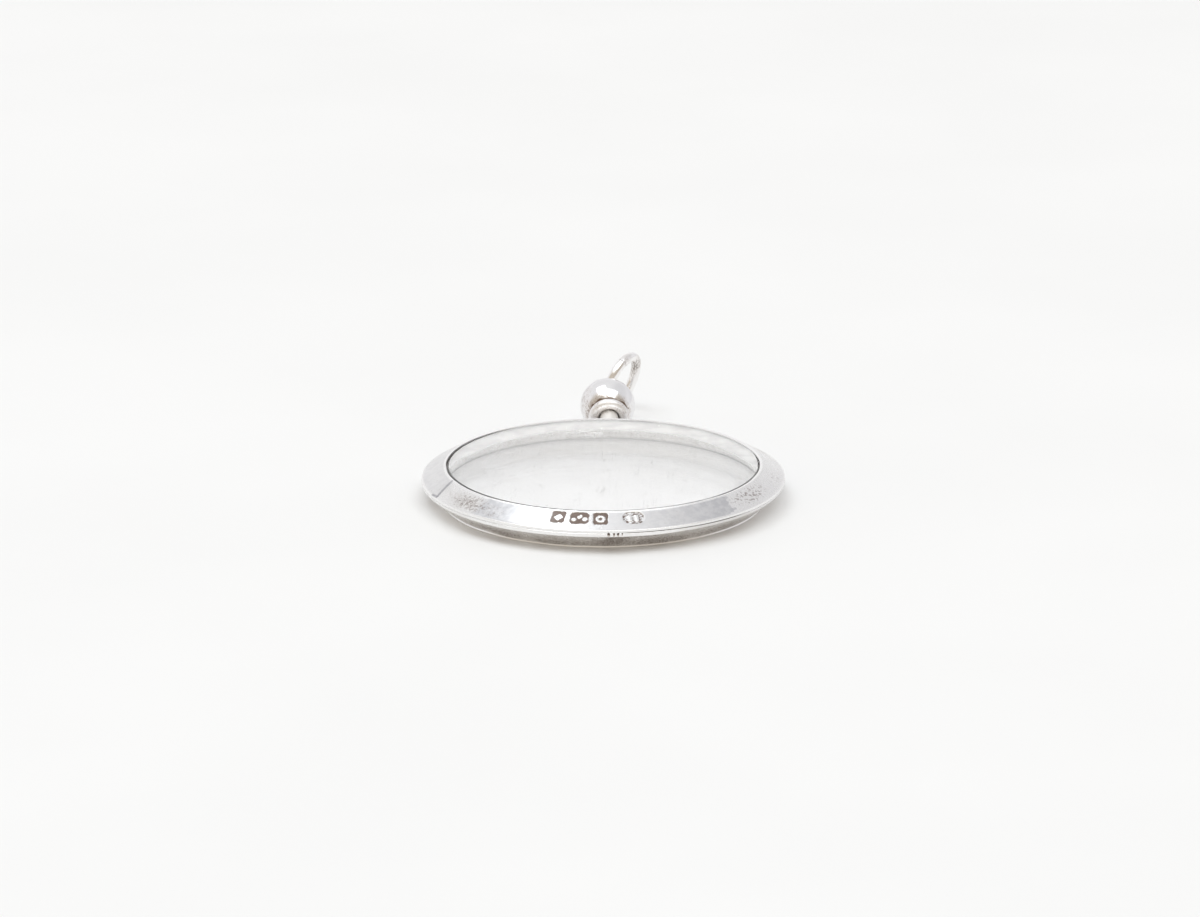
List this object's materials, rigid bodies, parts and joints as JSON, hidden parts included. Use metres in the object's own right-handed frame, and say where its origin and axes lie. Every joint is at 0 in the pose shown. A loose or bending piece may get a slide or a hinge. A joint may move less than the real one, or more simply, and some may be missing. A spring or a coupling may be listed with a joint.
{
  "type": "glass locket",
  "caption": "Round glass locket lying on its back: knife-edged silver frame with a glass pane on each side, a screw-on ball knob on a split post, and a plain ring to hang it by.",
  "frame": {"origin": "middle of the chamber between the two panes, halfway through the frame's thickness", "axes": "+Y from the foot of the frame towards the post and knob at its head, +Z out of the front pane, +X to the right as seen from the front"},
  "size_m": [0.03, 0.0422, 0.0056],
  "materials": {
    "frame_silver": "worn polished silver with light tarnish",
    "glass": "clear, lightly scratched",
    "knob_silver": "polished silver, darker in the creases",
    "ring_silver": "polished silver, lightly tarnished"
  },
  "bodies": {
    "locket": {"frame": "frame_silver", "front_glass": "glass", "back_glass": "glass"},
    "knob": {"ball_knob": "knob_silver"},
    "ring": {"bail_ring": "ring_silver"}
  },
  "joints": [
    {"name": "knob_off", "type": "slide", "parent": "locket", "child": "knob", "axis": [-0.0819, 0.9758, 0.2028], "range_m": [0, 0.006]},
    {"name": "ring_swing", "type": "hinge", "parent": "knob", "child": "ring", "pos_m": [-0.00019, 0.02307, 0.00151], "axis": [0.8523, -0.4157, -0.3173], "range_deg": [-35, 50]}
  ]
}
